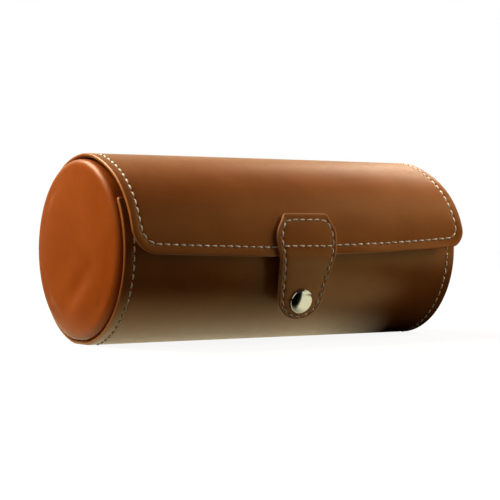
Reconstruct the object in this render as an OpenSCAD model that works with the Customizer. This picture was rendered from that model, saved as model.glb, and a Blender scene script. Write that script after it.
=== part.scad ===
// Travel case for three watches: a stiff leather tube with a flared lid that hinges at the back,
// padded round ends, a stitched closing strap with a snap, and a pillow for each watch.
// Millimetres. X runs along the tube, -Y is the front and +Z is up. The origin is the middle of
// the flat that the tube rests on.

/* [Shell] */
// Outer radius of the tube
shell_r = 47.5; // [42:0.5:60]
// Length of the tube, rim to rim
shell_l = 202; // [165:1:260]
// How far the resting flat cuts into the round outline
base_drop = 0.5; // [0.4:0.1:1]
// Outer leather of the shell
shell_leather_t = 0.9; // [0.8:0.1:1.4]
// Board inside the shell's wall
shell_board_t = 1.0; // [0.8:0.1:2]
// Lining inside the shell
shell_lining_t = 0.4; // [0.3:0.1:0.8]
// Front lip of the shell, in degrees above the horizontal
lip_angle = 33; // [20:1:40]
// Leather turned in over the board's edges
turn_in = 7; // [6:0.5:10]

/* [Lid] */
// How much larger the lid's radius is over the front than the tube's
flap_extra_r = 3; // [2.5:0.25:4]
// Where the lid starts to stand off the tube, in degrees from the back over the top
flare_angle = 80; // [70:1:85]
// How sharply it leaves the tube's roundness there, in degrees
flare_break = 3; // [2:0.5:4]
// Outer leather of the lid
lid_leather_t = 0.8; // [0.7:0.1:1.2]
// Board inside the lid
lid_board_t = 0.8; // [0.6:0.1:1.2]
// Lining inside the lid
lid_lining_t = 0.4; // [0.3:0.1:0.6]
// How far each end of the lid stops short of the shell's rim
lid_inset = 0.8; // [0.4:0.1:2]
// Lowest point of the flap's front edge, below the tube's axis
flap_drop = 3.4; // [0:0.2:6]
// How much lower the front edge hangs at the middle than at its ends
flap_sag = 2.8; // [1:0.1:4]
// Corner radius of the flap
flap_corner_r = 13; // [8:0.5:18]

/* [Hinge] */
// Height of the hinge line up the back, in degrees
hinge_angle = 40; // [30:1:45]
// Bare leather to each side of the hinge line
hinge_half = 3.2; // [2.8:0.1:5]

/* [End caps] */
// How far each padded face stands out past the rim
pad_proud = 3; // [2.5:0.25:5]
// Rounding of the padded edge
pad_edge_r = 3; // [2:0.25:4]
// Leather over each end cap
cap_leather_t = 0.9; // [0.6:0.1:1.2]
// Foam under the leather at the middle of the face
cap_foam_t = 3.1; // [3:0.1:6]
// Board disc that stiffens each end cap
cap_board_t = 9; // [6:0.5:12]
// Lining on the inner face of each end cap
cap_lining_t = 0.8; // [0.4:0.1:1.5]
// Glue line around the end caps and the dividers
glue_gap = 0.05; // [0.03:0.01:0.1]

/* [Strap] */
// Middle of the strap along the tube
strap_x = -1; // [-20:1:20]
// Height of the strap's top edge above the tube's axis
strap_top = 18.5; // [15:0.5:22]
// Half width of the strap at its top edge
strap_top_half = 13.3; // [11:0.1:15]
// Widening of each side below the top edge, per mm
strap_widen = 0.52; // [0.4:0.02:0.6]
// Half width that the tapering sides start from
strap_half = 19.4; // [18:0.1:22]
// Narrowing of each side, per mm
strap_narrow = 0.137; // [0.1:0.001:0.16]
// Height of the strap down to where its rounded end starts
strap_side_h = 42.5; // [40:0.5:46]
// Height of the rounded end
strap_tip_h = 11.4; // [10:0.1:13]
// Outer leather of the strap
strap_leather_t = 1.3; // [1.1:0.1:1.6]
// Backing leather of the strap
strap_backing_t = 1.0; // [0.8:0.1:1.4]

/* [Snap] */
// Diameter of the domed cap
snap_cap_d = 13; // [12.5:0.5:14]
// Height of the dome
snap_cap_h = 2.3; // [2:0.1:3]
// Distance of the snap below the flap's edge, along the strap
snap_down = 23.8; // [22:0.2:25]
// Space between the strap and the shell at the snap
snap_stand = 5; // [4.8:0.1:6]
// Diameter of the socket under the strap
snap_socket_d = 12; // [11:0.5:13]
// Height of the socket
snap_socket_h = 3.2; // [2.8:0.1:3.6]
// Diameter of the socket's mouth
snap_mouth_d = 8; // [7.6:0.1:8.4]
// Diameter of the stud's head
stud_head_d = 5.2; // [4.6:0.1:5.6]
// Height of the stud above the shell
stud_h = 3.2; // [2.6:0.1:3.4]

/* [Stitching] */
// Radius of the thread
thread_r = 0.3; // [0.2:0.05:0.35]
// Distance from one stitch to the next on the shell and lid
stitch_pitch = 4.4; // [3:0.1:6]
// Visible part of each stitch
stitch_l = 2.9; // [2:0.1:3.4]
// Stitches in from the shell's rims
shell_stitch_in = 5.2; // [4:0.1:5.5]
// Stitches in from the lid's edges
lid_stitch_in = 4.7; // [4:0.1:5.5]
// Distance from one stitch to the next on the strap
strap_pitch = 4.4; // [3.6:0.1:5]
// Stitches in from the strap's edges
strap_stitch_in = 2.6; // [2:0.1:3.5]

/* [Watch pillows] */
// Width of each of the three pillows, across the tube
pillow_w = 60; // [50:1:62]
// Height of each pillow
pillow_h = 54; // [44:1:56]
// Rounding of the pillow's section
pillow_r = 26; // [18:1:27]
// Space at each end of a pillow in its compartment
pillow_gap = 1.2; // [0.6:0.1:3]
// Cloth of the pillow
pillow_cloth_t = 1.0; // [0.6:0.1:1.5]
// Clearance between a pillow and the trough that it lies in
pillow_rest_gap = 0.2; // [0.1:0.05:0.4]
// Top of the dividers above the tube's axis
divider_top = 22; // [10:1:24]
// Board inside each divider
divider_board_t = 1.6; // [1:0.1:3]
// Cloth on each face of a divider
divider_cloth_t = 0.6; // [0.4:0.1:1]

/* [Hidden] */
$fn = 96;

hide = "#9a5426";     // saddle leather
hide_pad = "#a35420"; // padded ends, a little brighter
cloth = "#7f6348";    // brown suede cloth
board_grey = "#8f8a80";
foam_white = "#e9e4d6";
thread_cream = "#e6dcc0";
metal = "#d8d4cc";

axis_z = shell_r - base_drop;              // height of the tube's axis
shell_t = shell_leather_t + shell_board_t + shell_lining_t;
lid_t = lid_leather_t + lid_board_t + lid_lining_t;
hinge_span = hinge_half / shell_r * 180 / PI; // bare leather beside the hinge line, in degrees
split_gap = 0.1 / shell_r * 180 / PI;         // cut line between the hinge strip and its neighbours
lip_from_back = 180 - lip_angle;              // angles here run from the back, over the top
reach = 2 * (2 * shell_r + flap_extra_r);     // larger than the section, for cutting tools
least_edge_r = 0.5;                           // rounding left on the end caps' inner layers
cut_past = 1;                                 // how far a cutting shape runs past what it cuts
flat_half = acos(axis_z / shell_r);           // half the angle of the resting flat, from the axis
lining_in = 1;                                // lining stops short of the leather's edges
lip_lining_in = 1.5;

// The lid's front part is an arc about its own centre, which crosses the tube's at flare_angle.
flap_r = shell_r + flap_extra_r;
flap_start = flare_angle - flare_break;
flap_cy = shell_r * cos(flare_angle) - flap_r * cos(flap_start);
flap_cz = shell_r * sin(flare_angle) - flap_r * sin(flap_start);
flap_end = 200;                               // an angle past the flap's lowest edge
lid_half_l = shell_l / 2 - lid_inset;
corner_x = lid_half_l - flap_corner_r;
sag_r = (pow(lid_half_l, 2) + pow(flap_sag, 2)) / (2 * flap_sag);
sag_z = sag_r - flap_drop;                    // centre of the front edge's long arc
corner_z = sag_z - sqrt(pow(sag_r - flap_corner_r, 2) - pow(corner_x, 2));

// Stitches lie in a groove, level with the leather.
groove_w = 2 * thread_r + 0.3;
groove_depth = 2 * thread_r + 0.04;
thread_depth = thread_r + 0.02;
short_stitch_l = 0.9 * stitch_l;              // round the flap's corners and across the strap
strap_stitch_l = 0.65 * strap_pitch;
stitch_clear = 0.3;                           // from the front row's last stitch to the strap
bend_clear = 2;                               // from the bending line to the stitches above it
tongue_first = 2.2;                           // and to the first stitches below it
first_on_shell = 0.6;                         // lip to the first stitch, in stitch lengths

// The strap leaves the flap's edge at its outer surface, which is also its bending line.
strap_t = strap_leather_t + strap_backing_t;
strap_r = flap_r + strap_t;
edge_rise = asin((-flap_drop - flap_cz) / strap_r);
strap_y = flap_cy - strap_r * cos(edge_rise);
strap_edge = strap_top + flap_drop;           // height of the strap above the flap's edge
// It leans in until its back is snap_stand off the shell at the snap. In the triangle between
// the tube's axis, the bending line and the strap's back at the snap, all sides are known.
bend_far = norm([strap_y, flap_drop]);
snap_far = norm([snap_down, strap_t]);
strap_lean = atan(flap_drop / -strap_y) - atan(strap_t / snap_down)
    + asin((pow(bend_far, 2) + pow(snap_far, 2) - pow(shell_r + snap_stand, 2))
        / (2 * bend_far * snap_far));
bend_gap = 0.3;                               // clearance where the hanging end meets the flap
rivet_r = 1.9;                                // barrel that holds the cap to the socket
rivet_fit = 0.1;
socket_roof = 0.7;
stud_turn = 0.8;                              // shifts the stud up the shell, in degrees
stud_flange_t = 0.5;
stud_flange_r = 4.5;
stud_neck_r = 2;
stud_head_t = 1;
stud_chamfer = 0.4;
stud_hole_h = 2;
post_r = 1.4;
post_flange_t = 0.5;
post_flange_r = 4;
post_in_stud = 1.8;                           // how far the rivet reaches up into the stud
spring_wire_r = 0.25;
spring_up = 1;                                // depth of the spring inside the socket's mouth
spring_turn = 320;                            // the ring is open, in degrees of wire

// Lengths along the tube
cap_inner_x = shell_l / 2 + pad_proud - cap_leather_t - cap_foam_t - cap_board_t - cap_lining_t;
divider_t = divider_board_t + 2 * divider_cloth_t;
compartment_l = (2 * cap_inner_x - 2 * divider_t) / 3;
pillow_l = compartment_l - 2 * pillow_gap;
pillow_step = compartment_l + divider_t;
trough_r = shell_r - shell_t;

// A pillow lies on its rounded corners, or on the flat at the bottom of the trough.
pillow_flat = 0.5;                            // least half width of the section's flats
pillow_round = min(pillow_r, pillow_w / 2 - pillow_flat, pillow_h / 2 - pillow_flat);
pillow_corner_y = pillow_w / 2 - pillow_round;
corner_fall = sqrt(pow(trough_r - pillow_rest_gap - pillow_round, 2) - pow(pillow_corner_y, 2));
flat_fall = axis_z - shell_t - pillow_rest_gap - pillow_round;
pillow_z = pillow_h / 2 - pillow_round - min(corner_fall, flat_fall);

// ---- section tools: Y is drawn along the first axis and Z along the second ----

module along_x(x0, x1) {
    translate([x0, 0, axis_z]) rotate([90, 0, 90]) linear_extrude(x1 - x0) children();
}

// Extrudes an outline drawn in X and Z through the whole section.
module along_y() {
    translate([0, reach / 2, axis_z]) rotate([90, 0, 0]) linear_extrude(reach) children();
}

// The tube's outline, with its resting flat, taken in by a depth
module outline(depth) {
    intersection() {
        circle(shell_r - depth);
        translate([-reach, -(axis_z - depth)]) square([2 * reach, 2 * reach]);
    }
}

// A wedge from angle a0 to a1, counted from the back over the top
module wedge(a0, a1) {
    steps = ceil((a1 - a0) / 30);
    polygon(concat([[0, 0]], [for (i = [0 : steps])
        reach * [cos(a0 + (a1 - a0) * i / steps), sin(a0 + (a1 - a0) * i / steps)]]));
}

// The shell's section between two depths, from the lip round the bottom to the hinge
module shell_section(d0, d1, lip_back, hinge_back) {
    lip_shift = lip_back / shell_r * 180 / PI;
    hinge_shift = hinge_back / shell_r * 180 / PI;
    intersection() {
        difference() {
            outline(d0);
            outline(d1);
        }
        wedge(lip_from_back + lip_shift, 360 + hinge_angle - hinge_shift);
    }
}

module ring(r_out, r_in) {
    difference() {
        circle(r_out);
        circle(r_in);
    }
}

// The lid's outline, taken in by a depth: the tube's circle and the flap's larger one
module lid_outline(depth) {
    circle(shell_r - depth);
    translate([flap_cy, flap_cz]) circle(flap_r - depth);
}

// The lid's section between two depths, from the hinge over the top and down the front
module lid_section(d0, d1, hinge_back) {
    hinge_shift = hinge_back / shell_r * 180 / PI;
    intersection() {
        difference() {
            lid_outline(d0);
            lid_outline(d1);
        }
        wedge(hinge_angle + hinge_shift, flap_end);
    }
}

// The lid's outline seen from the front, taken in by an inset
module flap_window(inset) {
    r = flap_corner_r - inset;
    intersection() {
        union() {
            for (side = [-1, 1]) translate([side * corner_x, corner_z]) circle(r);
            translate([-corner_x - r, corner_z]) square([2 * (corner_x + r), reach]);
            translate([-corner_x, -flap_drop + inset])
                square([2 * corner_x, flap_drop + corner_z]);
        }
        translate([0, sag_z]) circle(sag_r - inset, $fn = 400);
    }
}

// ---- stitches ----

module stitch(length = stitch_l) {
    rotate([90, 0, 0]) cylinder(r = thread_r, h = length, center = true, $fn = 24);
}

// One stitch on a ring about a centre: at angle a, its length along the ring
module ring_stitch(x, cy, cz, r, a) {
    translate([x, cy + r * cos(a), axis_z + cz + r * sin(a)]) rotate([a - 90, 0, 0]) stitch();
}

// ---- shell ----

module shell_leather() {
    color(hide) difference() {
        along_x(-shell_l / 2, shell_l / 2)
            shell_section(0, shell_leather_t + shell_board_t, 0, hinge_half);
        along_x(-shell_l / 2 + turn_in, shell_l / 2 - turn_in)
            shell_section(shell_leather_t, shell_t, turn_in, 0);
        for (side = [-1, 1]) {
            x = side * (shell_l / 2 - shell_stitch_in);
            along_x(x - groove_w / 2, x + groove_w / 2)
                difference() {
                    circle(shell_r + cut_past);
                    outline(groove_depth);
                }
        }
        stud_bore(post_r + rivet_fit);
    }
}

module shell_board() {
    color(board_grey) difference() {
        along_x(-shell_l / 2 + turn_in + glue_gap, shell_l / 2 - turn_in - glue_gap)
            shell_section(shell_leather_t, shell_leather_t + shell_board_t,
                turn_in + glue_gap, hinge_half);
        stud_bore(post_r + rivet_fit);
    }
}

module shell_lining() {
    color(cloth) difference() {
        along_x(-shell_l / 2 + lining_in, shell_l / 2 - lining_in)
            shell_section(shell_leather_t + shell_board_t, shell_t, lip_lining_in, hinge_half);
        stud_bore(post_r + rivet_fit);
    }
}

module shell_stitching() {
    r = shell_r - thread_depth;
    pitch = stitch_pitch / shell_r * 180 / PI;
    first = lip_from_back + pitch * first_on_shell;
    count = floor((360 + hinge_angle - hinge_span - first) / pitch);
    color(thread_cream) for (side = [-1, 1], i = [0 : count - 1]) {
        a = first + i * pitch;
        x = side * (shell_l / 2 - shell_stitch_in);
        if (abs(a - 270) < flat_half + pitch / 2)
            translate([x, r * cos(a), thread_depth]) stitch();
        else ring_stitch(x, 0, 0, r, a);
    }
}

// ---- end caps ----

// Section of one end cap between a side depth and a face depth, from x0 outwards
module cap_solid(depth, x0) {
    r = trough_r - glue_gap - depth;
    x1 = shell_l / 2 + pad_proud - depth;
    edge = pad_edge_r - min(depth, pad_edge_r - least_edge_r);
    intersection() {
        translate([0, 0, axis_z]) rotate([0, 90, 0]) rotate_extrude() union() {
            translate([0, x0]) square([r, x1 - edge - x0]);
            translate([0, x0]) square([r - edge, x1 - x0]);
            translate([r - edge, x1 - edge]) intersection() {
                circle(edge);
                square(edge);
            }
        }
        translate([0, -reach, shell_t + glue_gap]) cube([shell_l, 2 * reach, reach]);
    }
}

module cap_leather() {
    difference() {
        cap_solid(0, cap_inner_x + cap_lining_t);
        cap_solid(cap_leather_t, 0);
    }
}

module cap_foam() {
    cap_solid(cap_leather_t, shell_l / 2 + pad_proud - cap_leather_t - cap_foam_t);
}

module cap_disc(x0, thickness) {
    translate([x0, 0, axis_z]) rotate([0, 90, 0])
        cylinder(r = trough_r - cap_leather_t - 2 * glue_gap, h = thickness);
}

module cap_lining() {
    intersection() {
        translate([cap_inner_x, 0, axis_z]) rotate([0, 90, 0])
            cylinder(r = trough_r - glue_gap, h = cap_lining_t);
        translate([0, -reach, shell_t + glue_gap]) cube([shell_l, 2 * reach, reach]);
    }
}

module end_cap_right_leather() { color(hide_pad) cap_leather(); }
module end_cap_right_foam() { color(foam_white) cap_foam(); }
module end_cap_right_board() {
    color(board_grey) cap_disc(cap_inner_x + cap_lining_t, cap_board_t);
}
module end_cap_right_lining() { color(cloth) cap_lining(); }
module end_cap_left_leather() { mirror([1, 0, 0]) end_cap_right_leather(); }
module end_cap_left_foam() { mirror([1, 0, 0]) end_cap_right_foam(); }
module end_cap_left_board() { mirror([1, 0, 0]) end_cap_right_board(); }
module end_cap_left_lining() { mirror([1, 0, 0]) end_cap_right_lining(); }

// ---- dividers ----

// A slice of the trough below a height, centred on x
module trough_slice(x, thickness, top) {
    along_x(x - thickness / 2, x + thickness / 2) intersection() {
        outline(shell_t + glue_gap);
        translate([-reach, -reach]) square([2 * reach, reach + top]);
    }
}

module divider(side) {
    color(cloth) difference() {
        trough_slice(side * pillow_step / 2, divider_t, divider_top);
        trough_slice(side * pillow_step / 2, divider_board_t, divider_top - divider_cloth_t);
    }
}

module divider_core(side) {
    color(board_grey)
        trough_slice(side * pillow_step / 2, divider_board_t, divider_top - divider_cloth_t);
}

module divider_left() { divider(-1); }
module divider_right() { divider(1); }
module divider_left_board() { divider_core(-1); }
module divider_right_board() { divider_core(1); }

// ---- hinge ----

module hinge_strip(d0, d1) {
    intersection() {
        ring(shell_r - d0, shell_r - d1);
        wedge(hinge_angle - hinge_span + split_gap, hinge_angle + hinge_span - split_gap);
    }
}

module hinge_leather() {
    color(hide) along_x(-lid_half_l, lid_half_l) hinge_strip(0, lid_leather_t);
}

module hinge_lining() {
    color(cloth) along_x(-lid_half_l + lining_in, lid_half_l - lining_in)
        hinge_strip(lid_leather_t, lid_leather_t + lid_lining_t);
}

// ---- lid ----

module lid_leather() {
    color(hide) difference() {
        intersection() {
            along_x(-shell_l / 2, shell_l / 2)
                lid_section(0, lid_leather_t + lid_board_t, hinge_half);
            along_y() flap_window(0);
        }
        intersection() {
            along_x(-shell_l / 2, shell_l / 2) lid_section(lid_leather_t, lid_t, 0);
            along_y() flap_window(turn_in);
        }
        intersection() {
            along_x(-shell_l / 2, shell_l / 2) lid_section(-cut_past, groove_depth, 0);
            along_y() difference() {
                flap_window(lid_stitch_in - groove_w / 2);
                flap_window(lid_stitch_in + groove_w / 2);
            }
        }
    }
}

module lid_board() {
    color(board_grey) intersection() {
        along_x(-shell_l / 2, shell_l / 2)
            lid_section(lid_leather_t, lid_leather_t + lid_board_t, hinge_half);
        along_y() flap_window(turn_in + glue_gap);
    }
}

module lid_lining() {
    color(cloth) intersection() {
        along_x(-shell_l / 2, shell_l / 2)
            lid_section(lid_leather_t + lid_board_t, lid_t, hinge_half);
        along_y() flap_window(lining_in);
    }
}

// Height of the stitched front row above the axis, and its depth in Y, at a place along the tube
function row_z(x) = sag_z - sqrt(pow(sag_r - lid_stitch_in, 2) - x * x);
function flap_y(z, r) = flap_cy - sqrt(r * r - pow(z - flap_cz, 2));

module lid_stitching() {
    r1 = shell_r - thread_depth;
    r2 = flap_r - thread_depth;
    pitch1 = stitch_pitch / shell_r * 180 / PI;
    pitch2 = stitch_pitch / flap_r * 180 / PI;
    corner_rise = asin((corner_z - flap_cz) / r2);
    side_x = lid_half_l - lid_stitch_in;
    count1 = floor((flare_angle - hinge_angle - hinge_span) / pitch1);
    count2 = floor((180 - corner_rise - flap_start) / pitch2);
    corner_count = round((flap_corner_r - lid_stitch_in) * PI / 2 / stitch_pitch);
    row_count = floor(corner_x / stitch_pitch);
    color(thread_cream) {
        for (side = [-1, 1]) {
            for (i = [0 : count1 - 1])
                ring_stitch(side * side_x, 0, 0, r1, flare_angle - (i + 0.5) * pitch1);
            for (i = [0 : count2 - 1])
                ring_stitch(side * side_x, flap_cy, flap_cz, r2, flap_start + (i + 0.5) * pitch2);
            for (i = [0 : corner_count - 1]) corner_stitch(side, (i + 0.5) * 90 / corner_count, r2);
        }
        for (i = [-row_count : row_count]) {
            x = i * stitch_pitch;
            strap_half_here = strap_outline_half(strap_top - row_z(x));
            if (abs(x - strap_x) > strap_half_here + stitch_l / 2 + stitch_clear)
                translate([x, flap_y(row_z(x), r2), axis_z + row_z(x)])
                    rotate([0, -asin(x / sag_r), 0]) rotate([0, 0, 90]) stitch();
        }
    }
}

// One stitch on the flap's corner, a turned angle down from the side
module corner_stitch(side, turn, r) {
    q = flap_corner_r - lid_stitch_in;
    x = side * (corner_x + q * cos(turn));
    z = corner_z - q * sin(turn);
    rise = asin((z - flap_cz) / r);
    translate([x, flap_y(z, r), axis_z + z])
        rotate([-rise, 0, 0]) rotate([0, side * turn, 0]) rotate([90, 0, 0])
            stitch(short_stitch_l);
}

// ---- strap ----

// Half the strap's width at a height below its top edge: widening, then narrowing, then round
function blend_low(a, b) = -ln(exp(-1.2 * a) + exp(-1.2 * b)) / 1.2;
function strap_outline_half(t) = t <= strap_side_h
    ? blend_low(strap_top_half + strap_widen * t, strap_half - strap_narrow * t)
    : (strap_half - strap_narrow * strap_side_h)
        * sqrt(max(0, 1 - pow((t - strap_side_h) / strap_tip_h, 2)));

// Points down one side of the strap between two heights below its top, taken in by an inset
function strap_side_points(t0, t1, inset, steps) = [for (i = [0 : steps])
    let (t = t0 + (t1 - t0) * i / steps) [strap_outline_half(t) - inset, t]];
// Points round the strap's end, from one side to the other
function strap_tip_points(inset) = [for (i = [0 : 24]) let (a = i * 180 / 24)
    [(strap_half - strap_narrow * strap_side_h - inset) * cos(a),
     strap_side_h + (strap_tip_h - inset) * sin(a)]];
function mirrored(points) = [for (i = [len(points) - 1 : -1 : 0]) [-points[i][0], points[i][1]]];

// The part of the strap on the flap, as an outline in X and Z above the axis
module anchor_outline(inset) {
    side = strap_side_points(inset, strap_edge, inset, 16);
    points = concat(side, mirrored(side));
    polygon([for (p = points) [strap_x + p[0], strap_top - p[1]]]);
}

// The hanging part, as an outline in X and down from the flap's edge; it starts a little above
// that edge, where tongue_layer cuts it level
module tongue_outline(inset) {
    side = strap_side_points(strap_edge - strap_t, strap_side_h, inset, 8);
    points = concat(side, strap_tip_points(inset), mirrored(side));
    polygon([for (p = points) [p[0], -(p[1] - strap_edge) / cos(strap_lean)]]);
}

module anchor_layer(r0, r1, inset) {
    intersection() {
        along_x(strap_x - strap_half, strap_x + strap_half)
            translate([flap_cy, flap_cz]) intersection() {
                ring(r1, r0);
                wedge(flare_angle, flap_end);
            }
        along_y() anchor_outline(inset);
    }
}

// Places things in the hanging strap's own frame: outer face at y = 0, the flap's edge at z = 0
module on_tongue() {
    translate([strap_x, strap_y, axis_z - flap_drop]) rotate([strap_lean, 0, 0]) children();
}

module tongue_layer(y0, y1, inset) {
    intersection() {
        on_tongue() translate([0, y1, 0]) rotate([90, 0, 0])
            linear_extrude(y1 - y0) tongue_outline(inset);
        translate([-reach, -reach, axis_z - flap_drop - bend_gap - 2 * reach])
            cube(2 * reach);
    }
}

// A round thing on the snap's line, from depth y0 to y1 behind the strap's outer face
module on_snap(r, y0, y1) {
    on_tongue() translate([0, y0, -snap_down]) rotate([-90, 0, 0])
        cylinder(r = r, h = y1 - y0, $fn = 64);
}

module strap_anchor() {
    color(hide) difference() {
        anchor_layer(flap_r + strap_backing_t, strap_r, 0);
        difference() {
            anchor_layer(strap_r - groove_depth, strap_r + cut_past,
                strap_stitch_in - groove_w / 2);
            anchor_layer(strap_r - strap_t, strap_r + 2 * cut_past,
                strap_stitch_in + groove_w / 2);
        }
        along_x(strap_x - strap_half, strap_x + strap_half) intersection() {
            translate([-reach, row_z(strap_x) - groove_w / 2]) square([reach, groove_w]);
            translate([flap_cy, flap_cz]) ring(strap_r + cut_past, strap_r - groove_depth);
        }
    }
}

module strap_anchor_backing() {
    color(hide) anchor_layer(flap_r, flap_r + strap_backing_t, 0);
}

module strap_anchor_stitching() {
    r = strap_r - thread_depth;
    last = strap_edge - bend_clear;
    top_count = floor((strap_top_half - strap_stitch_in) / strap_pitch);
    row_half = strap_outline_half(strap_top - row_z(strap_x)) - strap_stitch_in;
    row_count = floor(row_half / stitch_pitch);
    color(thread_cream) {
        for (side = [-1, 1], t = [strap_stitch_in + strap_pitch : strap_pitch : last])
            anchor_stitch(side, t, r);
        for (i = [-top_count : top_count]) top_stitch(i * strap_pitch, r);
        for (i = [-row_count : row_count]) row_stitch(i * stitch_pitch, r);
    }
}

// One stitch beside the strap's edge, laid along it
module anchor_stitch(side, t, r) {
    z = strap_top - t;
    slope = atan(strap_outline_half(t + 0.5) - strap_outline_half(t - 0.5));
    translate([strap_x + side * (strap_outline_half(t) - strap_stitch_in), flap_y(z, r), axis_z + z])
        rotate([-asin((z - flap_cz) / r), 0, 0]) rotate([0, -side * slope, 0])
            rotate([90, 0, 0]) stitch(strap_stitch_l);
}

module top_stitch(x, r) {
    z = strap_top - strap_stitch_in;
    translate([strap_x + x, flap_y(z, r), axis_z + z]) rotate([0, 0, 90])
        stitch(strap_stitch_l);
}

module row_stitch(x, r) {
    z = row_z(strap_x);
    translate([strap_x + x, flap_y(z, r), axis_z + z]) rotate([0, 0, 90]) stitch(short_stitch_l);
}

module strap_tongue() {
    color(hide) difference() {
        tongue_layer(0, strap_leather_t, 0);
        on_tongue() translate([0, groove_depth, 0]) rotate([90, 0, 0])
            linear_extrude(cut_past) difference() {
                tongue_outline(strap_stitch_in - groove_w / 2);
                tongue_outline(strap_stitch_in + groove_w / 2);
            }
        on_snap(rivet_r + rivet_fit, -cut_past, strap_t);
    }
}

module strap_tongue_backing() {
    color(hide) difference() {
        tongue_layer(strap_leather_t, strap_t, 0);
        on_snap(rivet_r + rivet_fit, 0, strap_t + cut_past);
    }
}

// One stitch on the hanging part, at x and a height below the strap's top, turned by an angle
module tongue_stitch(x, t, turn) {
    on_tongue() translate([x, thread_depth, -(t - strap_edge) / cos(strap_lean)])
        rotate([0, turn, 0]) rotate([90, 0, 0]) stitch(strap_stitch_l);
}

module strap_tongue_stitching() {
    half_end = strap_half - strap_narrow * strap_side_h - strap_stitch_in;
    tip_end = strap_tip_h - strap_stitch_in;
    first = strap_edge + tongue_first;
    last = strap_side_h - strap_stitch_l / 2;
    tip_count = floor(PI / 2 * (half_end + tip_end) / strap_pitch) - 1;
    color(thread_cream) {
        for (side = [-1, 1], t = [first : strap_pitch : last])
            tongue_stitch(side * (strap_outline_half(t) - strap_stitch_in), t,
                side * atan(strap_narrow));
        for (i = [0 : tip_count - 1]) {
            a = (i + 0.5) * 180 / tip_count;
            tongue_stitch(half_end * cos(a), strap_side_h + tip_end * sin(a),
                atan2(half_end * sin(a), tip_end * cos(a)));
        }
    }
}

// ---- snap ----

module snap_cap() {
    dome_r = (pow(snap_cap_d / 2, 2) + pow(snap_cap_h, 2)) / (2 * snap_cap_h);
    color(metal) {
        on_tongue() translate([0, 0, -snap_down]) rotate([90, 0, 0]) intersection() {
            translate([0, 0, snap_cap_h - dome_r]) sphere(r = dome_r);
            cylinder(r = snap_cap_d / 2, h = snap_cap_h);
        }
        on_snap(rivet_r, 0, strap_t + socket_roof);
    }
}

module snap_socket() {
    color(metal) difference() {
        on_snap(snap_socket_d / 2, strap_t, strap_t + snap_socket_h);
        on_snap(snap_mouth_d / 2, strap_t + socket_roof, strap_t + snap_socket_h + cut_past);
        on_snap(rivet_r + rivet_fit, 0, strap_t + snap_socket_h);
    }
}

module snap_spring() {
    ring_r = snap_mouth_d / 2 - spring_wire_r - glue_gap;
    color(metal) on_tongue() translate([0, strap_t + snap_socket_h - spring_up, -snap_down])
        rotate([90, 0, 0]) rotate_extrude(angle = spring_turn)
            translate([ring_r, 0]) circle(spring_wire_r, $fn = 24);
}

// Where the snap's line meets the shell: a point and an angle below the horizontal
snap_y = strap_y + snap_down * sin(strap_lean);
snap_z = -flap_drop - snap_down * cos(strap_lean);
along_n = snap_y * cos(strap_lean) + snap_z * sin(strap_lean);
to_shell = -along_n - sqrt(along_n * along_n - snap_y * snap_y - snap_z * snap_z
    + shell_r * shell_r);
stud_fall = atan2(-(snap_z + to_shell * sin(strap_lean)), -(snap_y + to_shell * cos(strap_lean)))
    - stud_turn;

// Places things on the shell where the stud stands: z runs outwards from the shell's surface
module on_shell() {
    translate([strap_x, 0, axis_z]) rotate([90 + stud_fall, 0, 0])
        translate([0, 0, shell_r]) children();
}

module stud_bore(r) {
    on_shell() translate([0, 0, -2 * shell_t]) cylinder(r = r, h = 4 * shell_t, $fn = 48);
}

module snap_stud() {
    color(metal) on_shell() difference() {
        union() {
            cylinder(r = stud_flange_r, h = stud_flange_t, $fn = 64);
            cylinder(r = stud_neck_r, h = stud_h, $fn = 64);
            translate([0, 0, stud_h - stud_chamfer - stud_head_t])
                cylinder(r = stud_head_d / 2, h = stud_head_t, $fn = 64);
            translate([0, 0, stud_h - stud_chamfer])
                cylinder(r1 = stud_head_d / 2, r2 = stud_neck_r, h = stud_chamfer, $fn = 64);
        }
        translate([0, 0, -cut_past])
            cylinder(r = post_r + rivet_fit / 2, h = stud_hole_h + cut_past, $fn = 48);
    }
}

module snap_post() {
    seat = shell_t + pow(post_flange_r, 2) / (2 * trough_r) + glue_gap;
    color(metal) on_shell() {
        translate([0, 0, -seat - post_flange_t])
            cylinder(r = post_flange_r, h = post_flange_t, $fn = 64);
        translate([0, 0, -seat]) cylinder(r = post_r, h = seat + post_in_stud, $fn = 48);
    }
}

// ---- pillows ----

module pillow_section(inset) {
    r = pillow_round - inset;
    x = pillow_corner_y;
    y = pillow_h / 2 - pillow_round;
    translate([0, pillow_z]) union() {
        for (sx = [-1, 1], sy = [-1, 1]) translate([sx * x, sy * y]) circle(r);
        translate([-x - r, -y]) square([2 * (x + r), 2 * y]);
        translate([-x, -y - r]) square([2 * x, 2 * (y + r)]);
    }
}

module pillow_slice(place, x0, x1, inset) {
    along_x(place * pillow_step + x0, place * pillow_step + x1) pillow_section(inset);
}

module pillow_cover(place) {
    half = pillow_l / 2;
    color(cloth) difference() {
        pillow_slice(place, -half, half, 0);
        pillow_slice(place, -half - cut_past, half + cut_past, pillow_cloth_t);
    }
}

module pillow_core(place) {
    half = pillow_l / 2 - pillow_cloth_t - glue_gap;
    color(foam_white) pillow_slice(place, -half, half, pillow_cloth_t + glue_gap);
}

module pillow_ends(place) {
    half = pillow_l / 2;
    color(cloth) for (side = [-1, 1])
        pillow_slice(place, side * half - (side > 0 ? pillow_cloth_t : 0),
            side * half + (side < 0 ? pillow_cloth_t : 0), pillow_cloth_t + glue_gap);
}

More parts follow.
